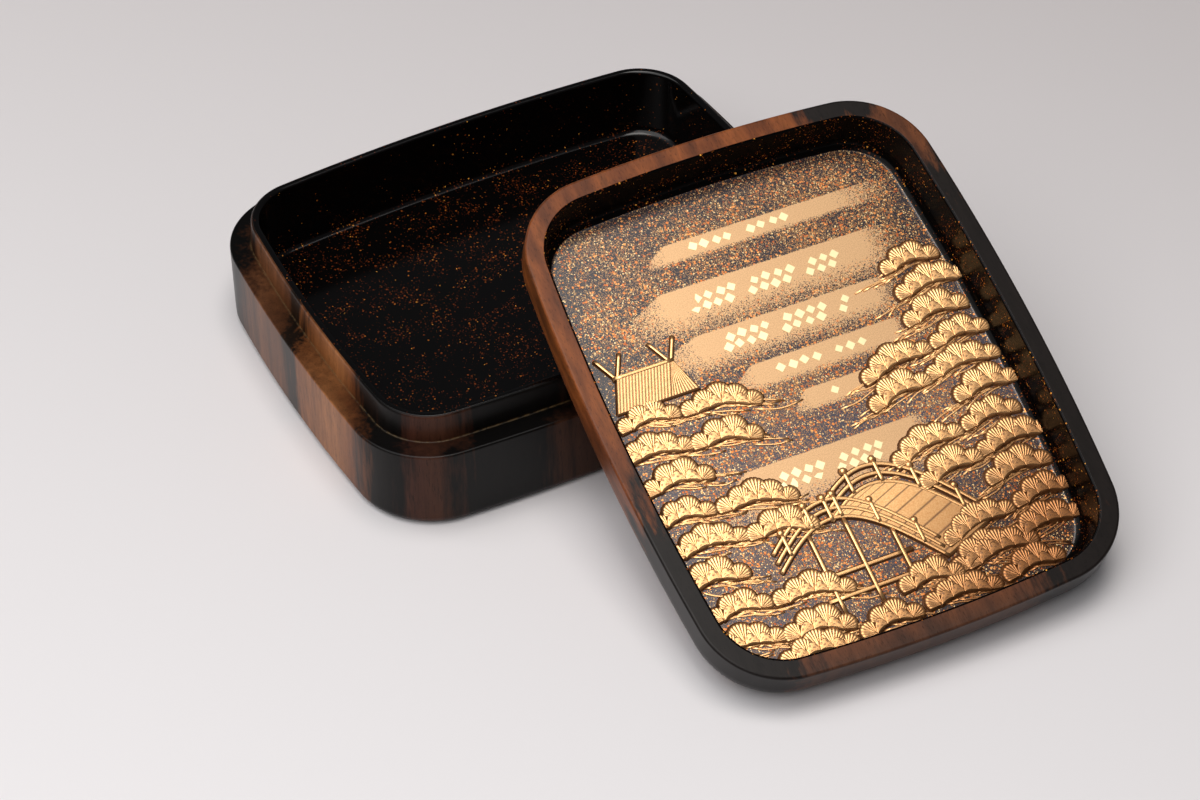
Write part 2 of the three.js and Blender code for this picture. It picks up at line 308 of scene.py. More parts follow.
def supported(profile, near=0.06, longest=4.0):
    """The profile with points close to the ends of its straight runs, so that they shade flat."""
    points = [profile[0]]
    for before, after in zip(profile, profile[1:]):
        run = math.dist(before, after)
        parts = []
        if run > 6 * near:
            parts = [near / run, 1 - near / run]
            pieces = math.ceil(run / longest)
            parts[1:1] = [i / pieces for i in range(1, pieces)]
        points += [
            (before[0] + (after[0] - before[0]) * p, before[1] + (after[1] - before[1]) * p)
            for p in parts
        ]
        points.append(after)
    return points


def mesh_piece(name, vertices, faces, materials, face_slots=None, floats=None, smooth=True):
    """A mesh object from points in millimetres, with float attributes on its points."""
    mesh = bpy.data.meshes.new(name)
    mesh.from_pydata([tuple(c * MM for c in v) for v in vertices], [], faces)
    for material in materials:
        mesh.materials.append(material)
    if face_slots is not None:
        mesh.polygons.foreach_set("material_index", face_slots)
    mesh.polygons.foreach_set("use_smooth", [smooth] * len(mesh.polygons))
    for key, values in (floats or {}).items():
        layer = mesh.attributes.new(key, "FLOAT", "POINT")
        layer.data.foreach_set("value", values)
    mesh.update()
    piece = bpy.data.objects.new(name, mesh)
    bpy.context.scene.collection.objects.link(piece)
    return piece


def outline_body(name, profile, materials, sideways=False, second_from=None, crease_of=None):
    """A closed body whose rings all follow the plan outline, from the underside over the
    outside down to the inner floor. sideways lays its long side along its own Y, and rows
    past second_from take the second material."""
    rings = [
        [(-y, x, z) if sideways else (x, y, z) for x, y in plan_outline(inset)]
        for inset, z in profile
    ]
    count = len(rings[0])
    vertices = [(0, 0, profile[0][1])] + [p for ring in rings for p in ring]
    vertices.append((0, 0, profile[-1][1]))
    faces, slots = [], []
    for row in range(len(rings) + 1):
        low = 1 + (row - 1) * count
        for i in range(count):
            nxt = (i + 1) % count
            if row == 0:
                faces.append((0, 1 + nxt, 1 + i))
            elif row == len(rings):
                faces.append((low + i, low + nxt, len(vertices) - 1))
            else:
                faces.append((low + i, low + nxt, low + count + nxt, low + count + i))
        slots += [int(second_from is not None and row > second_from)] * count
    crease = [0.0] + [crease_of(*p) if crease_of else 0.0 for p in profile for _ in range(count)]
    return mesh_piece(name, vertices, faces, materials, slots, {"crease": crease + [0.0]})


def box_pieces(wood, lacquer):
    """The box's wood, and the lacquer that covers its rim's top and its inside as a thin coat."""
    rim = RIM_TOP_HEIGHT - RIM_ROUNDING
    edge = (RIM_OUTER_INSET + RIM_ROUNDING, rim)

    def inside(depth, steps):
        """The rim's top and the inner wall, a little below the visible surface."""
        small = RIM_ROUNDING - depth
        fillet = (INNER_WALL_INSET + FLOOR_FILLET, FLOOR_HEIGHT + FLOOR_FILLET)
        return (
            arc(edge, small, LACQUER_FROM, math.pi / 2, steps)
            + arc((RIM_INNER_INSET - RIM_ROUNDING, rim), small, math.pi / 2, 0, steps)
            + arc(fillet, FLOOR_FILLET + depth, -math.pi, -math.pi / 2, 8)
            + [(fillet[0] + CAP_INSET, FLOOR_HEIGHT - depth)]
        )

    outside = (
        [(FOOT_ROUNDING + CAP_INSET, 0)]
        + arc((FOOT_ROUNDING, FOOT_ROUNDING), FOOT_ROUNDING, -math.pi / 2, -math.pi, 10)
        + arc((EDGE_EASE, SHOULDER_HEIGHT - EDGE_EASE), EDGE_EASE, math.pi, math.pi / 2, 4)
        + [(RIM_BASE_INSET - CREASE * s, SHOULDER_HEIGHT) for s in (1, 0.5, 0)]
        + [(RIM_BASE_INSET, SHOULDER_HEIGHT + CREASE * s) for s in (0.5, 1)]
        + arc(edge, RIM_ROUNDING, math.pi, LACQUER_FROM, 4)
    )
    profile = supported(outside + inside(COAT / 2, 3))

    def crease(inset, z):
        """How close a point is to the corner between the shoulder and the rim."""
        return max(0.0, 1 - math.dist((inset, z), (RIM_BASE_INSET, SHOULDER_HEIGHT)) / CREASE)

    body = outline_body("carved_box", profile, [wood], crease_of=crease)
    under = list(reversed(inside(COAT, 3)))
    lining = outline_body("box_lacquer", supported(under + inside(0, 4)), [lacquer])
    return body, lining


def lid_pieces(wood, lacquer, picture):
    """The lid's wood, and the lacquer coat of its hollow: wall, rounded corner and floor."""
    wall = RING_WIDTH + HOLLOW_DRAFT
    fillet = (wall + HOLLOW_FILLET, HOLLOW_FILLET - HOLLOW_DEPTH)
    edge = RING_WIDTH - RING_INNER_EASE

    def inside(depth, steps):
        """The ring's inner edge and the hollow, a little below the visible surface."""
        return (
            arc((edge, -RING_INNER_EASE), RING_INNER_EASE - depth, math.pi / 2, 0, steps)
            + arc(fillet, HOLLOW_FILLET + depth, -math.pi, -math.pi / 2, 8)
            + [(fillet[0] + CAP_INSET, -HOLLOW_DEPTH - depth)]
        )

    rounding = TOP_EDGE_ROUNDING
    outside = (
        [(rounding + CAP_INSET, -LID_HEIGHT)]
        + arc((rounding, rounding - LID_HEIGHT), rounding, -math.pi / 2, -math.pi, 14)
        + arc((EDGE_EASE, -EDGE_EASE), EDGE_EASE, math.pi, math.pi / 2, 4)
        + [(edge - RING_FLAT_END, 0)]
    )
    profile = supported(outside + inside(COAT / 2, 3))
    body = outline_body("carved_lid", profile, [wood], sideways=True)
    under = list(reversed(inside(COAT, 3)))
    profile = supported(under + [(edge - RING_FLAT_END, 0)] + inside(0, 5))
    floor_from = next(
        row for row, (_, z) in enumerate(profile)
        if row > len(profile) / 2 and z < FLOOR_TOLERANCE - HOLLOW_DEPTH
    )
    lining = outline_body("lid_lacquer", profile, [lacquer, picture], True, floor_from)
    return body, lining


def boundary(columns, rows):
    """Grid places once round the edge of a grid, counter-clockwise."""
    return (
        [(i, 0) for i in range(columns)]
        + [(columns - 1, j) for j in range(1, rows)]
        + [(i, rows - 1) for i in range(columns - 2, -1, -1)]
        + [(0, j) for j in range(rows - 2, 0, -1)]
    )


def beyond_wall(points):
    """How far points lie beyond the hollow's wall, and the way out from there."""
    inner = np.array(WALL_BOX) - WALL_CORNER
    past = np.maximum(np.abs(points) - inner, 0) * np.sign(points)
    distance = np.hypot(past[:, 0], past[:, 1])
    return distance - WALL_CORNER, past / np.maximum(distance, 1e-6)[:, None]


class Figures:
    """Closed low-relief figures, gathered into one mesh. Each point carries the darkness of
    the outline there, partly a drawn line and partly painted shade, and two counts of needles
    across it with the strength of the second."""

    def __init__(self):
        self.vertices, self.faces = [], []
        self.floats = {"outline": [], "needle": [], "drawn": [], "hatch": [], "hatched": []}

    def add_grid(self, top, skirt=OUTLINE_WIDTH, **floats):
        """A closed figure under a grid of top points, with a dark skirt round its foot: partly a drawn
        line, partly painted shade where the relief meets the floor.
        """
        columns, rows = top.shape[:2]
        start = len(self.vertices)
        places = boundary(columns, rows)
        edge = np.array([top[i, j, :2] for i, j in places])
        ahead = np.roll(edge, -1, 0) - np.roll(edge, 1, 0)
        length = np.maximum(np.hypot(ahead[:, 0], ahead[:, 1]), 1e-6)[:, None]
        outward = np.stack([ahead[:, 1], -ahead[:, 0]], 1) / length
        floor = -HOLLOW_DEPTH
        loops = [(0.0, floor - BASE_SINK)]
        if skirt:
            low = floor + SKIRT_LIFT
            loops = [(SKIRT_START, low), (skirt, low), (skirt, floor - BASE_SINK)]
        made = [tuple(p) for p in top.reshape(-1, 3)]
        for offset, z in loops:
            made += [(x, y, z) for x, y in edge + outward * offset]
        middle = edge.mean(0)
        made.append((middle[0], middle[1], loops[-1][1]))
        # What would pass the wall of the hollow ends inside its wood.
        made = np.array(made)
        past, outwards = beyond_wall(made[:, :2])
        past = np.maximum(past, 0)
        back = past - WALL_REACH * (1 - np.exp(-past / WALL_REACH))
        made[:, :2] -= outwards * back[:, None]
        self.vertices += [tuple(p) for p in made]
        count = len(places)
        for i in range(columns - 1):
            for j in range(rows - 1):
                low = start + i * rows + j
                self.faces.append((low, low + rows, low + rows + 1, low + 1))
        rim = [start + i * rows + j for i, j in places]
        for number in range(len(loops)):
            ring = [start + columns * rows + number * count + k for k in range(count)]
            for k in range(count):
                after = (k + 1) % count
                self.faces.append((rim[after], rim[k], ring[k], ring[after]))
            rim = ring
        last = len(self.vertices) - 1
        self.faces += [(rim[(k + 1) % count], rim[k], last) for k in range(count)]
        below = len(made) - columns * rows
        for key, values in self.floats.items():
            given = floats.get(key)
            plain = 0.5 if key in ("needle", "hatch") else 0.0
            values += [plain] * (columns * rows) if given is None else list(given.reshape(-1))
            values += [1.0 if key == "outline" and skirt else plain] * below

    def piece(self, name, material, smooth=True):
        """The gathered figures as one mesh object."""
        return mesh_piece(
            name, self.vertices, self.faces, [material], floats=self.floats, smooth=smooth
        )


def fan_forms(size, fans):
    """Each fan of a clump: its hub on the clump's arched lower edge, its axis in radians from
    upright, and how far it reaches. The axes open out towards the clump's ends."""
    forms = []
    for number in range(fans):
        side = 2 * number / (fans - 1) - 1
        hub = (side * clump_half_width(size, fans), HUB_ARCH * size * math.cos(0.5 * math.pi * side))
        axis = math.copysign(abs(side) ** 1.5, side) * AXIS_SPREAD
        uneven = 1 + FAN_UNEVEN * math.sin(2.4 * number + 9 * size)
        forms.append((hub, axis, FAN_REACH * size * (1 - FAN_END_SHRINK * side * side) * uneven))
    return forms


def clump_half_width(size, fans):
    """From a clump's middle to its outermost hub."""
    return (fans - 1) / 2 * HUB_SPACING * size


def place_clump(figures, x, y, tilt, size, fans, lift):
    """One pine clump: rounded fans of needles that spread from hubs along its lower edge, and
    between each two hubs a patch where the needles of both cross."""
    forms = fan_forms(size, fans)
    high = RELIEF_HEIGHT + lift

    def placed(px, py, z):
        """Points of the clump's own frame, turned and moved to their place in the picture."""
        across, up = rotated(px, py, tilt)
        return np.stack([x + across, y + up, z - HOLLOW_DEPTH], -1)

    out = np.array(FAN_ROWS)[None, :]
    for number, (hub, axis, reach) in enumerate(forms):
        needles = round(NEEDLES * reach / FAN_REACH)
        count = np.arange(needles * SAMPLES_PER_NEEDLE + 1)[:, None] / SAMPLES_PER_NEEDLE
        turn = (count / needles * 2 - 1) * FAN_ANGLE
        groove = (count % 1 == 0) * np.clip(out * 2, 0, 1)
        stem = np.exp(-(((count - needles / 2) / 0.7) ** 2)) * np.clip(1.2 - out * 2, 0, 1)
        sides = np.clip((FAN_ANGLE - np.abs(turn)) / 0.06, 0, 1)
        edge = np.minimum(np.array(FAN_EDGE)[None, :], 0.86 + 0.14 * sides)
        far = reach * (1 - FAN_ROUNDING * turn ** 2) * (1 - NEEDLE_NOTCH * (count % 1 == 0)) * out
        px = hub[0] + far * np.sin(axis + turn)
        py = hub[1] + far * np.cos(axis + turn)
        z = (high + FAN_STEP * (number % 2)) * edge - NEEDLE_DEPTH * groove + STEM_HEIGHT * stem
        # A fan's falling edge and its sides take the dark outline: partly a drawn line, partly painted
        # shade.
        rim = np.clip((0.98 - edge) / 0.2, 0, 1) * (sides > 0)
        figures.add_grid(
            placed(px, py, z),
            outline=np.maximum(rim, 0.35 * (sides == 0)),
            needle=count + np.zeros(px.shape),
            drawn=np.clip(out * 2.2 - 0.2, 0.1, 1) * (1 - 0.9 * stem),
        )

    s, t = np.meshgrid(np.linspace(0, 1, 19), np.linspace(0, 1, 11), indexing="ij")
    for (left, _, _), (right, _, _) in zip(forms, forms[1:]):
        px = left[0] + (right[0] - left[0]) * s
        low = left[1] + (right[1] - left[1]) * s - 0.15
        py = low + (0.3 + PATCH_HEIGHT * size * np.sin(np.pi * s) ** 0.7) * t
        fall = 0.12 + 0.02 * np.sin(np.pi * s) * np.sin(np.pi * t) - 0.3 * (t == 0)
        from_hubs = [np.hypot(px - hub[0], py - hub[1]) for hub in (left, right)]
        clear = np.clip((np.minimum(*from_hubs) - 0.3) / 0.5, 0, 1)
        # The patch's lower edge takes the dark outline: partly a drawn line, partly painted shade.
        figures.add_grid(
            placed(px, py, high + fall),
            outline=0.7 * (t == 0),
            needle=np.arctan2(px - left[0], py - left[1]) / CROSSED_NEEDLE,
            hatch=np.arctan2(px - right[0], py - right[1]) / CROSSED_NEEDLE,
            drawn=0.2 * clear,
            hatched=clear,
        )


def bar(figures, points, width=RAIL_WIDTH, height=RELIEF_HEIGHT, skirt=0.2):
    """A flat-topped bar with rounded edges, of even width along a line of points."""
    points = np.array(points, float)
    ahead = np.gradient(points, axis=0)
    left = np.stack([-ahead[:, 1], ahead[:, 0]], 1) / np.hypot(ahead[:, 0], ahead[:, 1])[:, None]
    across = np.array([-1, -0.92, -0.82, -0.74, 0.74, 0.82, 0.92, 1])
    rounded = np.array([0.6, 0.88, 0.98, 1, 1, 0.98, 0.88, 0.6])
    flat = points[:, None] + left[:, None] * (across * width / 2)[None, :, None]
    z = height * rounded + np.zeros(flat.shape[:2])
    # The rounded sides take the dark outline: partly a drawn line, partly painted shade.
    dark = np.clip((np.abs(across) - 0.82) / 0.16, 0, 1) * (skirt > 0) + np.zeros(flat.shape[:2])
    figures.add_grid(np.dstack([flat, z - HOLLOW_DEPTH]), skirt, outline=dark)


def knob(figures, x, y, width, height, skirt=0.22):
    """A round domed knob."""
    a, b = np.meshgrid(np.linspace(-1, 1, 7), np.linspace(-1, 1, 7), indexing="ij")
    u, v = a * np.sqrt(1 - b ** 2 / 2), b * np.sqrt(1 - a ** 2 / 2)
    z = height * (0.6 + 0.4 * np.sqrt(np.clip(1 - u ** 2 - v ** 2, 0, 1))) - HOLLOW_DEPTH
    figures.add_grid(np.dstack([x + u * width / 2, y + v * width / 2, z]), skirt)


def bank_clumps(side, top, pitch, rows, doubled_from):
    """Places of one bank's clumps: rows from the top down, each from the wall inwards. Odd rows
    stand a little further out, and two rows in three have a second clump once they may."""
    for row in range(rows):
        for i in range(2 if row >= doubled_from and row % 3 < 2 else 1):
            yield {
                "x": side * (BANK_MARGIN + ROW_STAGGER * (row % 2) - CLUMP_SPACING * i),
                "y": top - pitch * row - INWARD_DROP * i,
                "tilt": side * math.radians(2 + 7 * i),
                "size": 0.92 + 0.06 * ((row + i) % 3),
                "fans": 5 if (row + i) % 3 == 1 else 4,
                "lift": 0.05 * (row % 2) + 0.02 * i,
            }


def near_shore_clumps():
    """Places of the clumps along the near shore."""
    for row, (first, count, y) in enumerate(NEAR_SHORE):
        for i in range(count):
            yield {
                "x": first + (CLUMP_SPACING + 0.7) * i,
                "y": y + 0.4 * i,
                "tilt": math.radians(6 * (i % 2) - 3),
                "size": 0.96,
                "fans": 4 + ((row + i) % 2),
                "lift": 0.1 + 0.04 * (row % 2),
            }


def place_twigs(figures, clump, inwards, chance):
    """Thin bare twigs under a clump: they leave its lower edge, and all run inwards."""
    tilt, half = clump["tilt"], clump_half_width(clump["size"], clump["fans"])
    for number in range(TWIGS):
        side = inwards * (1.9 * number / (TWIGS - 1) - 0.8)
        px = side * half
        py = HUB_ARCH * math.cos(0.5 * math.pi * side) - 0.3 - 0.16 * (number % 3)
        across, up = rotated(px, py, tilt)
        x, y = clump["x"] + across, clump["y"] + up
        run = chance.uniform(*TWIG_RUN)
        drop = chance.uniform(*TWIG_DROP)
        bow = chance.uniform(-TWIG_BOW, TWIG_BOW)
        line = []
        for place in TWIG_PLACES:
            waver = chance.uniform(-TWIG_WAVER, TWIG_WAVER)
            bent = bow * math.sin(math.pi * place) + waver
            line.append((x + inwards * run * place, y - drop * place + bent))
        if inwards < 0:
            line.reverse()
        if beyond_wall(np.array(line))[0].max() < -0.5:
            bar(figures, line, TWIG_WIDTH, TWIG_HEIGHT, 0)


def bridge_point(along, far, up):
    """A point of the bridge: along its span, from the near to the far side, above the deck."""
    return (
        BRIDGE_START[0] + (BRIDGE_END[0] - BRIDGE_START[0]) * along + BRIDGE_DEPTH[0] * far,
        BRIDGE_START[1] + (BRIDGE_END[1] - BRIDGE_START[1]) * along + BRIDGE_DEPTH[1] * far
        + BRIDGE_RISE * math.sin(math.pi * along) + up,
    )


def place_bridge(figures):
    """The bridge: a planked deck, rails and knobbed posts on both sides, piles and beams."""
    length = 1 - FAR_SIDE_FROM
    joints = [FAR_SIDE_FROM + length * (number + 0.6) / PLANKS for number in range(PLANKS)]
    places = [joint + off for joint in joints for off in (-PLANK_GAP, 0, PLANK_GAP)]
    places = [FAR_SIDE_FROM + 0.005, FAR_SIDE_FROM + 0.012] + places + [0.992, 1.0]
    deck = []
    for along in places:
        first = max(0.0, (NEAR_DECK_FROM - along) / (NEAR_DECK_FROM - FAR_SIDE_FROM))
        row = [first + (1 - first) * part for part in DECK_PLACES]
        deck.append([bridge_point(along, far, 0) + (DECK_RELIEF - HOLLOW_DEPTH,) for far in row])
    dark = [0.9 * any(abs(along - joint) < 0.001 for joint in joints) for along in places]
    figures.add_grid(np.array(deck), outline=np.array([[d] * len(DECK_PLACES) for d in dark]))
    for far in (1, 0):
        begin = far * FAR_SIDE_FROM
        for up in (0,) + RAIL_HEIGHTS:
            line = [
                bridge_point(begin + (1 - begin) * i / BRIDGE_STEPS, far, up)
                for i in range(BRIDGE_STEPS + 1)
            ]
            bar(figures, line, RAIL_WIDTH, RELIEF_HEIGHT - 0.06 * far)
        for i in range(POSTS):
            along = (i + 0.5) / POSTS
            x, low = bridge_point(along, far, 0)
            high = bridge_point(along, far, POST_RISE)[1]
            bar(figures, straight((x, low), (x, high)), RAIL_WIDTH * 1.1, RELIEF_HEIGHT + POST_PROUD)
            knob(figures, x, high + KNOB_LIFT, KNOB_WIDTH, RELIEF_HEIGHT + KNOB_PROUD)
    feet = [bridge_point(along, 0, 0) for along in PILES]
    start, end = feet[0][0] - BEAM_OVERRUN, feet[-1][0] + BEAM_OVERRUN
    for y in BEAM_HEIGHTS:
        bar(figures, straight((start, y), (end, y)), RAIL_WIDTH, RELIEF_HEIGHT - 0.15)
    for x, high in feet:
        bar(figures, straight((x, PILE_FOOT), (x, high), 8), RAIL_WIDTH, RELIEF_HEIGHT - 0.1)


def place_roof(figures):
    """The thatched roof: a long face and a hipped end of straws, a ridge bar above them, and
    two pairs of crossed finials. The straws of the long face all lean as its left edge does."""
    ridge_left, ridge_right = ROOF_LEFT + RIDGE_INSET, ROOF_RIGHT - RIDGE_INSET
    hip = ridge_right - RIDGE_INSET
    for low_from, low_to, high_from, high_to in (
        (ROOF_LEFT, hip, ridge_left, ridge_right),
        (hip, ROOF_RIGHT, ridge_right, ridge_right + 0.3),
    ):
        straws = round((low_to - low_from) / STRAW_SPACING)
        samples = straws * STRAW_SAMPLES + 1
        s, f = np.meshgrid(np.linspace(0, 1, samples), ROOF_PLACES, indexing="ij")
        low = low_from + (low_to - low_from) * s
        high = high_from + (high_to - high_from) * s
        groove = STRAW_GROOVE * (np.arange(samples) % STRAW_SAMPLES == 0)[:, None]
        top = np.stack([
            low + (high - low) * f,
            ROOF_EAVES + (ROOF_RIDGE - ROOF_EAVES) * f,
            RELIEF_HEIGHT - HOLLOW_DEPTH - groove * (f < 1),
        ], -1)
        drawn = 0.9 + np.zeros(s.shape)
        figures.add_grid(top, needle=s * straws, drawn=drawn, outline=0.3 + 0.5 * (f == 0))
    for x in (ridge_left, ridge_right):
        for lean in (-FINIAL_SPREAD, FINIAL_SPREAD):
            line = straight((x, ROOF_RIDGE - 0.3), (x + lean, ROOF_RIDGE + FINIAL_RISE))
            bar(figures, line, FINIAL_WIDTH, RELIEF_HEIGHT - 0.05)
    left, right = ridge_left - RIDGE_OVERHANG, ridge_right + RIDGE_OVERHANG
    ridge = straight((left, ROOF_RIDGE), (right, ROOF_RIDGE), 8)
    bar(figures, ridge, RIDGE_WIDTH, RELIEF_HEIGHT + 0.1)


def square_places():
    """Where the cut gold squares go: in groups along the middle of each band."""
    for height, half, left, right, *_ in MIST_BANDS:
        rows = 2 if half > TWO_ROWS_FROM else 1
        for row in range(rows):
            for i in range(int((right - left - 2 * SQUARE_INSET) / SQUARE_PITCH) + 1):
                if i % SQUARE_GROUP < SQUARE_GROUP - 1:
                    x = left + SQUARE_INSET + SQUARE_PITCH * (i + 0.5 * row)
                    yield x, height + ROW_GAP * (row - (rows - 1) / 2)


def place_squares(figures, chance):
    """Cut gold squares, each on one corner; a few have lost a corner or lie askew."""
    half = SQUARE_SIDE / math.sqrt(2)
    placed = []
    for across, up in square_places():
        x = across + chance.uniform(-SQUARE_JITTER, SQUARE_JITTER)
        y = up + chance.uniform(-SQUARE_JITTER, SQUARE_JITTER)
        if any(math.dist((x, y), other) < SQUARE_SIDE * SQUARE_APART for other in placed):
            continue
        placed.append((x, y))
        size = half * chance.uniform(*SQUARE_SIZES)
        turn = chance.gauss(0, 0.12)
        corners = [Vector((0, -size)), Vector((size, 0)), Vector((0, size)), Vector((-size, 0))]
        if chance.random() < BROKEN_SHARE:
            corners[chance.randrange(4)] *= BROKEN_TO
        laid = [rotated(p.x, p.y, turn) for p in corners]
        a, b, c, d = [(x + u, y + v, SQUARE_THICKNESS - HOLLOW_DEPTH) for u, v in laid]
        figures.add_grid(np.array([[a, d], [b, c]]), 0)


# Materials


def own_place(tree):
    """The point's place in the frame its piece was drawn in, in millimetres."""
    return add(tree, "Attribute", attribute_name="place").outputs["Vector"]


def polished_wood(name, grain, fibres, end, zones):
    """Striped black persimmon, oiled and polished: ebony-black figure in red-brown wood,
    fine dark pores along the grain, and a satin shine. zones gives the broad colours, grain
    how closely the pattern is packed along each axis, fibres the way they run as the piece
    lies, and end how bright end grain is: it drinks more oil and comes out darker."""
    material, tree, shader = new_material(name)
    place = own_place(tree)
    along = add(tree, "VectorMath", {0: place, 1: grain}, operation="MULTIPLY").outputs[0]
    ground = zones(tree, place, along)

    # Soft streaks a few millimetres apart that lighten and darken the ground.
    streak = add(tree, "TexNoise", {"Vector": along, "Scale": 0.8, "Detail": 6.0, "Roughness": 0.62})
    depth = add(tree, "MapRange", {0: streak.outputs[0], 1: 0.3, 2: 0.7, 3: 0.7, 4: 1.25}).outputs[0]
    streaked = add(tree, "VectorMath", {0: ground, "Scale": depth}, operation="SCALE").outputs[0]

    # Pores: real ones are about 0.1 mm wide, drawn two to three times as wide to be seen.
    pore = add(tree, "TexNoise", {"Vector": along, "Scale": 4.5, "Detail": 3.0, "Roughness": 0.7})
    open_pore = add(tree, "MapRange", {0: pore.outputs[0], 1: 0.56, 2: 0.66, 3: 1.0, 4: 0.5}).outputs[0]
    coloured = add(tree, "VectorMath", {0: streaked, "Scale": open_pore}, operation="SCALE").outputs[0]

    facing = add(tree, "TexCoord").outputs["Normal"]
    along_it = add(tree, "VectorMath", {0: facing, 1: fibres}, operation="DOT_PRODUCT").outputs[1]
    ended = add(tree, "Math", {0: along_it}, operation="ABSOLUTE").outputs[0]
    soaked = add(tree, "MapRange", {0: ended, 1: 0.4, 2: 0.9, 3: 1.0, 4: end}).outputs[0]
    oiled = add(tree, "VectorMath", {0: coloured, "Scale": soaked}, operation="SCALE").outputs[0]

    # A little lacquer dust gathers in the corner where the rim rises from the shoulder.
    dusty = add(tree, "Attribute", attribute_name="crease").outputs["Fac"]
    dust = add(tree, "TexNoise", {"Vector": place, "Scale": 1.3, "Detail": 4.0})
    some = add(tree, "MapRange", {0: dust.outputs[0], 1: 0.35, 2: 0.6, 3: 0.0, 4: 0.7}).outputs[0]
    narrow = add(tree, "Math", {0: dusty, 1: 2.5}, operation="POWER").outputs[0]
    amount = add(tree, "Math", {0: narrow, 1: some}, operation="MULTIPLY").outputs[0]
    finished = add(tree, "Mix", {0: amount, 6: oiled, 7: linear("#6a5536")}, data_type="RGBA")
    tree.links.new(finished.outputs[2], shader.inputs["Base Color"])
    shader.inputs["Roughness"].default_value = 0.32
    shader.inputs["Specular IOR Level"].default_value = 0.17
    return material


def box_zones(tree, place, along):
    """Stripes of the box: planes of black and brown that cross it at an angle, so that each
    wall shows the block's figure. Places are counted along x - y, in millimetres."""
    stripes = [
        (-80, "#0d0b0a"), (-63, "#0d0b0a"), (-60, "#4a2b19"), (-55, "#7c4f32"), (-50, "#74482c"),
        (-46, "#57341f"), (-44.2, "#24180f"), (-41.2, "#24180f"), (-38.8, "#7d4b29"), (-29, "#a0673c"),
        (-23, "#754426"), (-19, "#110d0b"), (-11.5, "#0e0b0a"), (-8, "#43251a"), (-1.5, "#4a2b1d"),
        (2.5, "#0c0a09"), (17, "#0c0a09"), (21, "#3a2216"), (28, "#342014"), (31, "#0c0a09"),
        (44, "#0c0a09"), (47, "#4e3122"), (57, "#573727"), (60, "#100c0a"), (80, "#0d0a09"),
    ]
    apart = add(tree, "SeparateXYZ", {0: place})
    x, y = apart.outputs[0], apart.outputs[1]
    across = add(tree, "Math", {0: x, 1: y}, operation="SUBTRACT").outputs[0]
    wander = add(tree, "TexNoise", {"Vector": along, "Scale": 0.16, "Detail": 4.0, "Roughness": 0.6})
    drift = add(tree, "MapRange", {0: wander.outputs[0], 1: 0.3, 2: 0.7, 3: -3.5, 4: 3.5}).outputs[0]
    ragged = add(tree, "TexNoise", {"Vector": along, "Scale": 1.6, "Detail": 3.0, "Roughness": 0.6})
    fray = add(tree, "MapRange", {0: ragged.outputs[0], 1: 0.3, 2: 0.7, 3: -1.4, 4: 1.4}).outputs[0]
    moved = add(tree, "Math", {0: across, 1: drift}, operation="ADD").outputs[0]
    frayed = add(tree, "Math", {0: moved, 1: fray}, operation="ADD").outputs[0]
    reach = stripes[-1][0]
    place_in_ramp = add(tree, "MapRange", {0: frayed, 1: -reach, 2: reach}).outputs[0]
    ramp = add(tree, "ValToRGB", {0: place_in_ramp})
    fill_ramp(ramp, [((q + reach) / (2 * reach), code) for q, code in stripes])
    return ramp.outputs[0]


def lid_zones(tree, place, along):
    """Black clouds in the lid's brown wood: round masses with frayed edges."""
    clouds = [
        ((36, -6, 0), (13, 34, 14)), ((23, 43, -2), (8, 6, 5)), ((-34, -34, 0), (13, 24, 9)),
        ((32, -42, 0), (16, 10, 12)), ((10, 10, -9), (22, 9, 3)), ((-20, 30, -9), (12, 7, 3)),
    ]
    fray = add(tree, "TexNoise", {"Vector": along, "Scale": 0.5, "Detail": 5.0, "Roughness": 0.65})
    offset = add(tree, "MapRange", {0: fray.outputs[0], 1: 0.3, 2: 0.7, 3: -0.3, 4: 0.3}).outputs[0]
    dark = 0.0
    for centre, radii in clouds:
        from_centre = add(tree, "VectorMath", {0: place, 1: centre}, operation="SUBTRACT").outputs[0]
        scaled = add(tree, "VectorMath", {0: from_centre, 1: radii}, operation="DIVIDE").outputs[0]
        distance = add(tree, "VectorMath", {0: scaled}, operation="LENGTH").outputs[1]
        shifted = add(tree, "Math", {0: distance, 1: offset}, operation="ADD").outputs[0]
        inside = add(tree, "MapRange", {0: shifted, 1: 1.15, 2: 0.9}).outputs[0]
        dark = add(tree, "Math", {0: dark, 1: inside}, operation="MAXIMUM").outputs[0]
    figure = add(tree, "TexNoise", {"Vector": along, "Scale": 0.25, "Detail": 4.0})
    brown = add(tree, "ValToRGB", {0: figure.outputs[0]})
    fill_ramp(brown, [(0.3, "#58301a"), (0.45, "#713c1e"), (0.58, "#8c4d25"), (0.7, "#5e351c")])
    # Towards the near end and the right side the brown runs into a darker grey-brown.
    apart = add(tree, "SeparateXYZ", {0: place})
    near = add(tree, "MapRange", {0: apart.outputs[1], 1: -34.0, 2: -42.0, 3: 0.0, 4: 0.8}).outputs[0]
    right = add(tree, "MapRange", {0: apart.outputs[0], 1: 10.0, 2: 28.0, 3: 0.0, 4: 0.5}).outputs[0]
    either = add(tree, "Math", {0: near, 1: right}, operation="MAXIMUM").outputs[0]
    greying = {0: either, 6: brown.outputs[0], 7: linear("#3b2c24")}
    greyed = add(tree, "Mix", greying, data_type="RGBA").outputs[2]
    return add(tree, "Mix", {0: dark, 6: greyed, 7: linear("#1b1614")}, data_type="RGBA").outputs[2]


def near_right(tree, place):
    """How far a place is towards the near right corner. The picture is made browner there, to
    stand for weaker light that the studio's lamps don't give; it isn't a change in the gold."""
    apart = add(tree, "SeparateXYZ", {0: place})
    x, y = apart.outputs[0], apart.outputs[1]
    down = add(tree, "Math", {0: y, 1: -1.5, 2: x}, operation="MULTIPLY_ADD").outputs[0]
    return add(tree, "MapRange", {0: down, 1: 32.0, 2: 66.0}).outputs[0]


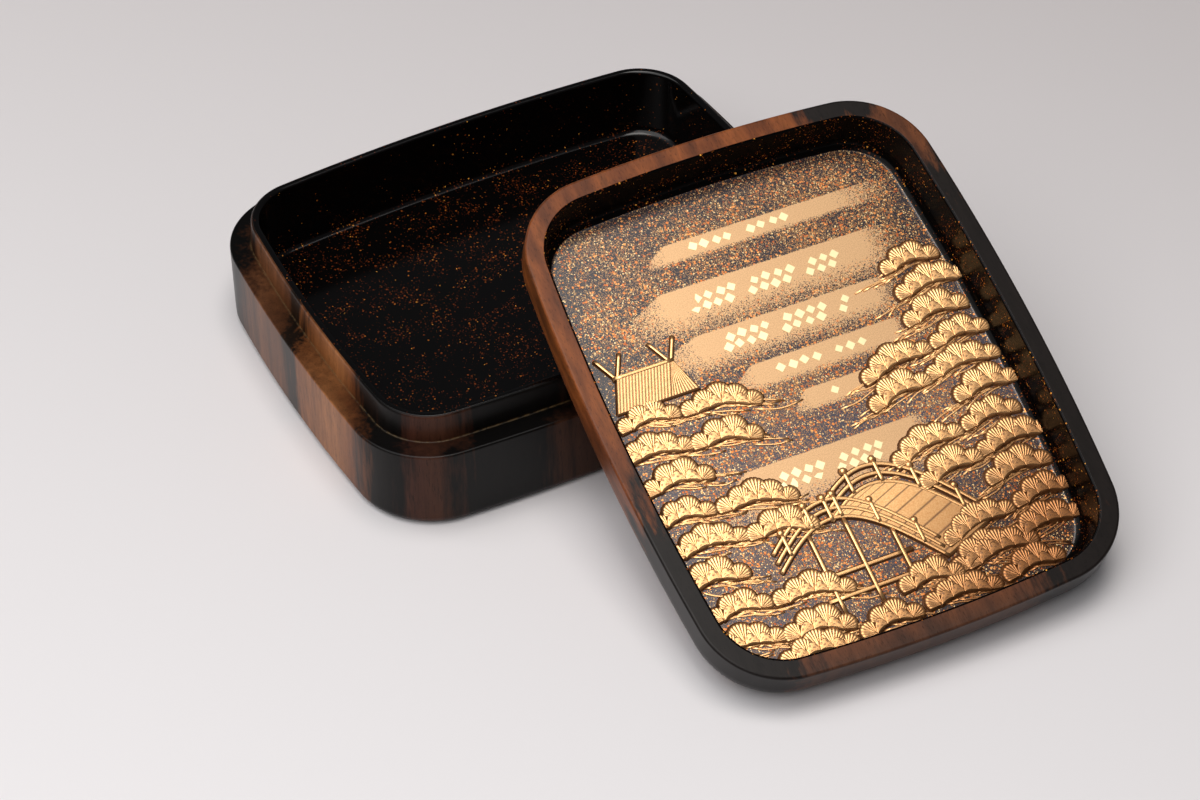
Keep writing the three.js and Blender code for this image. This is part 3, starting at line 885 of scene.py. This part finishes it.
def sprinkle(tree, place, cell, size, share, colours):
    """Gold flakes sown in wet lacquer: one irregular flake in a share of the cells. Gives
    where flakes lie and their colours, which the lacquer above them turns orange and red."""
    ragged = add(tree, "TexNoise", {"Vector": place, "Scale": 3.0 / cell, "Detail": 2.0})
    centred = {0: ragged.outputs[1], 1: (0.5, 0.5, 0.5)}
    push = add(tree, "VectorMath", centred, operation="SUBTRACT").outputs[0]
    shift = {0: push, 1: (cell * 0.45,) * 3, 2: place}
    moved = add(tree, "VectorMath", shift, operation="MULTIPLY_ADD").outputs[0]
    cells = add(tree, "TexVoronoi", {"Vector": moved, "Scale": 1 / cell})
    own = add(tree, "SeparateColor", {0: cells.outputs["Color"]})
    sizes = {0: own.outputs[0], 1: 0.0, 2: 1.0, 3: size * 0.45, 4: size}
    reach = add(tree, "MapRange", sizes).outputs[0]
    near = add(tree, "Math", {0: cells.outputs["Distance"], 1: reach}, operation="LESS_THAN").outputs[0]
    present = add(tree, "Math", {0: own.outputs[1], 1: share}, operation="LESS_THAN").outputs[0]
    ramp = add(tree, "ValToRGB", {0: own.outputs[2]})
    fill_ramp(ramp, colours)
    return add(tree, "Math", {0: near, 1: present}, operation="MULTIPLY").outputs[0], ramp.outputs[0]


def two_sizes(tree, place, share, coarse, fine):
    """Coarse flakes over fine ones; each is a cell, a size and its colours."""
    over, over_colour = sprinkle(tree, place, coarse[0], coarse[1], share, coarse[2])
    under, under_colour = sprinkle(tree, place, fine[0], fine[1], share, fine[2])
    flake = add(tree, "Math", {0: over, 1: under}, operation="MAXIMUM").outputs[0]
    colour = add(tree, "Mix", {0: over, 6: under_colour, 7: over_colour}, data_type="RGBA")
    return flake, colour.outputs[2]


DIM_FLAKES = [
    (0.0, "#160804"), (0.45, "#3d190b"), (0.75, "#713412"), (0.93, "#b0651f"), (1.0, "#ffb347"),
]
BRIGHT_FLAKES = [(0.0, "#963f1a"), (0.3, "#db7a36"), (0.6, "#f5ac60"), (1.0, "#ffe4aa")]
BRIGHT_FINE_FLAKES = [(0.0, "#9c6431"), (0.5, "#dea660"), (1.0, "#fbdda2")]


def black_lacquer(name, share, gloss, shine, sheer):
    """Black lacquer polished to a mirror, with gold flakes strewn thinly below the surface,
    and more thinly still above the height where the floor turns up into the wall."""
    material, tree, shader = new_material(name)
    place = own_place(tree)
    clusters = add(tree, "TexNoise", {"Vector": place, "Scale": 0.16, "Detail": 4.0, "Roughness": 0.65})
    sowing = {0: clusters.outputs[0], 1: 0.45, 2: 0.62, 3: share * 0.1, 4: share}
    sown = add(tree, "MapRange", sowing).outputs[0]
    height = add(tree, "SeparateXYZ", {0: place}).outputs[2]
    thinned = add(tree, "MapRange", {0: height, 1: sheer, 2: sheer + 1.5, 3: 1.0, 4: 0.15}).outputs[0]
    local = add(tree, "Math", {0: sown, 1: thinned}, operation="MULTIPLY").outputs[0]
    coarse, fine = (0.45, 0.38, DIM_FLAKES), (0.26, 0.45, DIM_FLAKES)
    flake, colour = two_sizes(tree, place, local, coarse, fine)
    base = add(tree, "Mix", {0: flake, 6: linear("#050404"), 7: colour}, data_type="RGBA").outputs[2]
    tree.links.new(base, shader.inputs["Base Color"])
    shader.inputs["Roughness"].default_value = gloss
    shader.inputs["Specular IOR Level"].default_value = shine
    return material


def mist(tree, place, band):
    """How thickly fine gold powder lies in one band of mist: crisp along its top, pointed
    at its left end, and thinning out along its lower edge and to the right."""
    middle, half, full_from, full_to, run_in, run_out, soft = band
    apart = add(tree, "SeparateXYZ", {0: place})
    u, v = apart.outputs[0], apart.outputs[1]
    start = add(tree, "MapRange", {0: u, 1: full_from - run_in, 2: full_from}).outputs[0]
    thickness = add(tree, "Math", {0: start, 1: 0.55}, operation="POWER").outputs[0]
    rise = {0: thickness, 1: 2 * half, 2: middle - half}
    top = add(tree, "Math", rise, operation="MULTIPLY_ADD").outputs[0]
    below_top = add(tree, "Math", {0: top, 1: v}, operation="SUBTRACT").outputs[0]
    upper = add(tree, "MapRange", {0: below_top, 1: 0.0, 2: 0.2}).outputs[0]
    reach = half * soft + 0.15
    foot = {0: v, 1: middle - half - reach, 2: middle - half + reach}
    lower = add(tree, "MapRange", foot, interpolation_type="SMOOTHSTEP").outputs[0]
    tail = {0: u, 1: full_to + run_out, 2: full_to}
    ending = add(tree, "MapRange", tail, interpolation_type="SMOOTHSTEP").outputs[0]
    begun = add(tree, "Math", {0: start, 1: 1.6 * soft}, operation="POWER").outputs[0]
    both = add(tree, "Math", {0: upper, 1: lower}, operation="MULTIPLY").outputs[0]
    ended = add(tree, "Math", {0: ending, 1: begun}, operation="MULTIPLY").outputs[0]
    return add(tree, "Math", {0: both, 1: ended}, operation="MULTIPLY").outputs[0]


def picture_lacquer():
    """The lid's inner floor: black lacquer thick with gold flakes, and bands of mist in fine
    gold powder. The polish is softer than the box's, so it takes a grey sheen from above."""
    material, tree, shader = new_material("picture_lacquer")
    place = own_place(tree)
    clusters = add(tree, "TexNoise", {"Vector": place, "Scale": 0.12, "Detail": 3.0})
    sowing = {0: clusters.outputs[0], 1: 0.35, 2: 0.65, 3: 0.34, 4: 0.74}
    local = add(tree, "MapRange", sowing).outputs[0]
    # Fewer flakes lie along the walls.
    apart = add(tree, "SeparateXYZ", {0: place})
    for axis, full, least in ((0, 24.0, 30.0), (1, 33.0, 38.5)):
        off = add(tree, "Math", {0: apart.outputs[axis]}, operation="ABSOLUTE").outputs[0]
        kept = add(tree, "MapRange", {0: off, 1: full, 2: least, 3: 1.0, 4: 0.4}).outputs[0]
        local = add(tree, "Math", {0: local, 1: kept}, operation="MULTIPLY").outputs[0]
    coarse, fine = (0.42, 0.5, BRIGHT_FLAKES), (0.25, 0.5, BRIGHT_FINE_FLAKES)
    flake, flake_colour = two_sizes(tree, place, local, coarse, fine)

    density = 0.0
    for band in MIST_BANDS:
        one = mist(tree, place, band)
        density = add(tree, "Math", {0: density, 1: one}, operation="MAXIMUM").outputs[0]
    # Powder grains are some 0.05 mm; the speckle is drawn at 0.11 mm so that it shows.
    speck = add(tree, "TexVoronoi", {"Vector": place, "Scale": 9.0})
    own = add(tree, "SeparateColor", {0: speck.outputs["Color"]})
    laid = add(tree, "Math", {0: density, 1: 1.03}, operation="MULTIPLY").outputs[0]
    powder = add(tree, "Math", {0: laid, 1: own.outputs[0]}, operation="GREATER_THAN").outputs[0]
    # The same powder is strewn thinly over the whole floor.
    thick = add(tree, "Math", {0: local, 1: 0.5}, operation="MULTIPLY").outputs[0]
    dust = add(tree, "Math", {0: thick, 1: own.outputs[1]}, operation="GREATER_THAN").outputs[0]
    # The ground is made greyer towards the near shore: painted sheen, the lacquer's reflection of the
    # light above.
    lower = add(tree, "MapRange", {0: apart.outputs[1], 1: 14.0, 2: -8.0}).outputs[0]
    corner = near_right(tree, place)
    greying = {0: lower, 6: linear("#29242a"), 7: linear("#514a54")}
    ground = add(tree, "Mix", greying, data_type="RGBA").outputs[2]
    # Towards the near right corner the ground and the dust on it are darkened: painted shade.
    painted_shade_mix = {0: corner, 6: ground, 7: linear("#201718")}
    with_painted_shade = add(tree, "Mix", painted_shade_mix, data_type="RGBA").outputs[2]
    dust_shade_mix = {0: corner, 6: linear("#b08050"), 7: linear("#70401f")}
    dust_with_shade = add(tree, "Mix", dust_shade_mix, data_type="RGBA").outputs[2]
    dusted = add(tree, "Mix", {0: dust, 6: with_painted_shade, 7: dust_with_shade}, data_type="RGBA").outputs[2]

    grounded = add(tree, "Mix", {0: flake, 6: dusted, 7: flake_colour}, data_type="RGBA").outputs[2]
    drift = add(tree, "TexNoise", {"Vector": place, "Scale": 6.0, "Detail": 3.0})
    heaped = add(tree, "ValToRGB", {0: drift.outputs[0]})
    fill_ramp(heaped, [(0.35, "#c99d70"), (0.65, "#e0b788")])
    base = add(tree, "Mix", {0: powder, 6: grounded, 7: heaped.outputs[0]}, data_type="RGBA").outputs[2]
    metal = add(tree, "Math", {0: flake, 1: powder}, operation="MAXIMUM").outputs[0]
    metallic = add(tree, "Math", {0: metal, 1: 0.6}, operation="MULTIPLY").outputs[0]
    rough = add(tree, "MapRange", {0: metal, 1: 0.0, 2: 1.0, 3: 0.25, 4: 0.38}).outputs[0]
    tree.links.new(base, shader.inputs["Base Color"])
    tree.links.new(metallic, shader.inputs["Metallic"])
    tree.links.new(rough, shader.inputs["Roughness"])
    return material


def relief_gold():
    """Fine gold powder burnished on raised lacquer: a soft, pale metal, with needles drawn
    in brown lacquer and a dark line round each figure, partly brown lacquer and partly
    painted shade where the relief meets the floor."""
    material, tree, shader = new_material("relief_gold")
    place = own_place(tree)
    lines, gaps, amounts = [], [], []
    for key, strength in (("needle", "drawn"), ("hatch", "hatched")):
        count = add(tree, "Attribute", attribute_name=key).outputs["Fac"]
        half = add(tree, "Math", {0: count, 1: 1.0}, operation="PINGPONG").outputs[0]
        fold = add(tree, "Math", {0: half, 1: 0.5}, operation="SUBTRACT").outputs[0]
        flat = add(tree, "Math", {0: fold}, operation="ABSOLUTE").outputs[0]
        lines.append(add(tree, "MapRange", {0: flat, 1: 0.3, 2: 0.44}).outputs[0])
        gaps.append(add(tree, "MapRange", {0: flat, 1: 0.18, 2: 0.32}).outputs[0])
        amounts.append(add(tree, "Attribute", attribute_name=strength).outputs["Fac"])
    alone = add(tree, "Math", {0: lines[0], 1: amounts[0]}, operation="MULTIPLY").outputs[0]
    crossing = add(tree, "Math", {0: gaps[0], 1: gaps[1]}, operation="MULTIPLY").outputs[0]
    holes = add(tree, "Math", {0: crossing, 1: amounts[1]}, operation="MULTIPLY").outputs[0]
    both = add(tree, "Math", {0: alone, 1: holes}, operation="MAXIMUM").outputs[0]
    faint = add(tree, "Math", {0: both, 1: 0.62}, operation="MULTIPLY").outputs[0]
    # The outline's darkness: partly a drawn line, partly painted shade.
    edge = add(tree, "Attribute", attribute_name="outline").outputs["Fac"]
    dark = add(tree, "Math", {0: faint, 1: edge}, operation="MAXIMUM").outputs[0]
    grain = add(tree, "TexNoise", {"Vector": place, "Scale": 5.0, "Detail": 2.0})
    tone = add(tree, "ValToRGB", {0: grain.outputs[0]})
    fill_ramp(tone, [(0.35, "#edb072"), (0.65, "#fdcb8e")])
    # Towards the near right corner the gold is made browner: painted shade.
    corner = near_right(tree, place)
    painted_shade_mix = {0: corner, 6: tone.outputs[0], 7: linear("#a06c42")}
    with_painted_shade = add(tree, "Mix", painted_shade_mix, data_type="RGBA").outputs[2]
    base = add(tree, "Mix", {0: dark, 6: with_painted_shade, 7: linear("#633c1e")}, data_type="RGBA").outputs[2]
    metallic = add(tree, "MapRange", {0: dark, 1: 0.0, 2: 1.0, 3: 0.9, 4: 0.1}).outputs[0]
    tree.links.new(base, shader.inputs["Base Color"])
    tree.links.new(metallic, shader.inputs["Metallic"])
    shader.inputs["Roughness"].default_value = 0.32
    return material


def cut_gold():
    """Cut gold leaf: smooth, pale and bright."""
    material, _, shader = new_material("cut_gold")
    shader.inputs["Base Color"].default_value = linear("#f7e6b4")
    shader.inputs["Metallic"].default_value = 1.0
    shader.inputs["Roughness"].default_value = 0.35
    return material


def paper():
    """A pale seamless sheet, a little darker towards the far right where the light falls off."""
    material, tree, shader = new_material("paper_floor")
    apart = add(tree, "SeparateXYZ", {0: add(tree, "TexCoord").outputs["Object"]})
    x, y = apart.outputs[0], apart.outputs[1]
    far = add(tree, "Math", {0: y, 1: 0.9, 2: x}, operation="MULTIPLY_ADD").outputs[0]
    fall = add(tree, "MapRange", {0: far, 1: -0.42, 2: 0.52}, interpolation_type="SMOOTHSTEP")
    ramp = add(tree, "ValToRGB", {0: fall.outputs[0]})
    fill_ramp(ramp, [(0.0, "#f8f7f9"), (1.0, "#aba3a2")])
    tree.links.new(ramp.outputs[0], shader.inputs["Base Color"])
    shader.inputs["Roughness"].default_value = 0.7
    return material


# The object


LID_SET = (
    Matrix.Rotation(math.radians(LID_ROLL), 4, "Y")
    @ Matrix.Rotation(math.radians(LID_LEAN), 4, "X")
    @ Matrix.Rotation(math.radians(LID_TURN), 4, "Z")
)


def lid_pose(lid):
    """Where the lid lies, so that its lowest point is just off the table."""
    lowest = min((LID_SET @ v.co).z for v in lid.data.vertices)
    at = Vector((LID_CENTRE[0] * MM, LID_CENTRE[1] * MM, TABLE_GAP * MM - lowest))
    return Matrix.Translation(at) @ LID_SET


def lay(piece, pose):
    """Moves a piece's points to where it lies; its patterns stay in the frame it was drawn in."""
    drawn = np.empty(len(piece.data.vertices) * 3)
    piece.data.vertices.foreach_get("co", drawn)
    kept = piece.data.attributes.new("place", "FLOAT_VECTOR", "POINT")
    kept.data.foreach_set("vector", drawn / MM)
    piece.data.transform(pose)


box_wood = polished_wood("box_persimmon", (1.0, 1.0, 0.1), (0, 0, 1), 0.42, box_zones)
lid_wood = polished_wood(
    "lid_persimmon", (1.0, 0.22, 1.0), LID_SET.to_3x3() @ Vector((0, 1, 0)), 0.8, lid_zones
)
inner_lacquer = black_lacquer("box_black_lacquer", 0.6, 0.14, 0.35, FLOOR_HEIGHT + 0.8)
wall_lacquer = black_lacquer("lid_black_lacquer", 0.65, 0.22, 0.06, RIM_TOP_HEIGHT)
gold = relief_gold()

box, box_lining = box_pieces(box_wood, inner_lacquer)
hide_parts("box")
lid, lid_lining = lid_pieces(lid_wood, wall_lacquer, picture_lacquer())
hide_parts("lid")

relief = {}
for name, clumps, inwards in (
    ("left_pines", list(bank_clumps(**LEFT_BANK)), 1),
    ("right_pines", list(bank_clumps(**RIGHT_BANK)), -1),
    ("near_pines", list(near_shore_clumps()), 1),
):
    figures = Figures()
    chance = random.Random(name)
    for form in clumps:
        place_clump(figures, **form)
    for form in clumps:
        place_twigs(figures, form, inwards, chance)
    relief[name] = figures.piece(name, gold)
for name, draw in (("arched_bridge", place_bridge), ("thatched_roof", place_roof)):
    figures = Figures()
    draw(figures)
    relief[name] = figures.piece(name, gold)
figures = Figures()
place_squares(figures, random.Random(5))
squares = figures.piece("gold_squares", cut_gold(), smooth=False)

for piece in [box, box_lining]:
    lay(piece, Matrix.Identity(4))
pose = lid_pose(lid)
for piece in [lid, lid_lining, squares, *relief.values()]:
    lay(piece, pose)
for piece in [box, box_lining, lid, lid_lining, squares, *relief.values()]:
    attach(piece, BODY)


# Studio


def softbox(name, place, aim, size, power, colour, turn=0):
    """A rectangular area light that looks at a point, turned on itself by some degrees;
    lengths in millimetres."""
    lamp = bpy.data.lights.new(name, "AREA")
    lamp.shape = "RECTANGLE"
    lamp.size, lamp.size_y = size[0] * MM, size[1] * MM
    lamp.energy = power
    lamp.color = linear(colour)[:3]
    made = bpy.data.objects.new(name, lamp)
    made.location = Vector(place) * MM
    looking = (Vector(aim) - Vector(place)).to_track_quat("-Z", "Y")
    made.rotation_euler = (looking @ Quaternion((0, 0, 1), math.radians(turn))).to_euler()
    bpy.context.scene.collection.objects.link(made)


scene = bpy.context.scene
bpy.ops.mesh.primitive_plane_add(size=PAPER_METRES)
floor = bpy.context.object
floor.name = "paper"
floor.data.materials.append(paper())

softbox("ceiling", **CEILING)
softbox("key", **KEY)

world = bpy.data.worlds.new("studio")
scene.world = world
world.use_nodes = True
world.node_tree.nodes["Background"].inputs["Color"].default_value = linear("#b4b6ba")
world.node_tree.nodes["Background"].inputs["Strength"].default_value = WORLD_STRENGTH

scene.view_settings.view_transform = "Standard"
camera = bpy.data.cameras.new("camera")
camera.sensor_fit = "HORIZONTAL"
camera.sensor_width = SENSOR
camera.lens = LENS
camera.clip_start = 0.01
camera.clip_end = 20.0
viewer = bpy.data.objects.new("camera", camera)
viewer.location = Vector(CAMERA_PLACE) * MM
looking = (Vector(CAMERA_AIM) - Vector(CAMERA_PLACE)).to_track_quat("-Z", "Y")
viewer.rotation_euler = looking.to_euler()
scene.collection.objects.link(viewer)
scene.camera = viewer
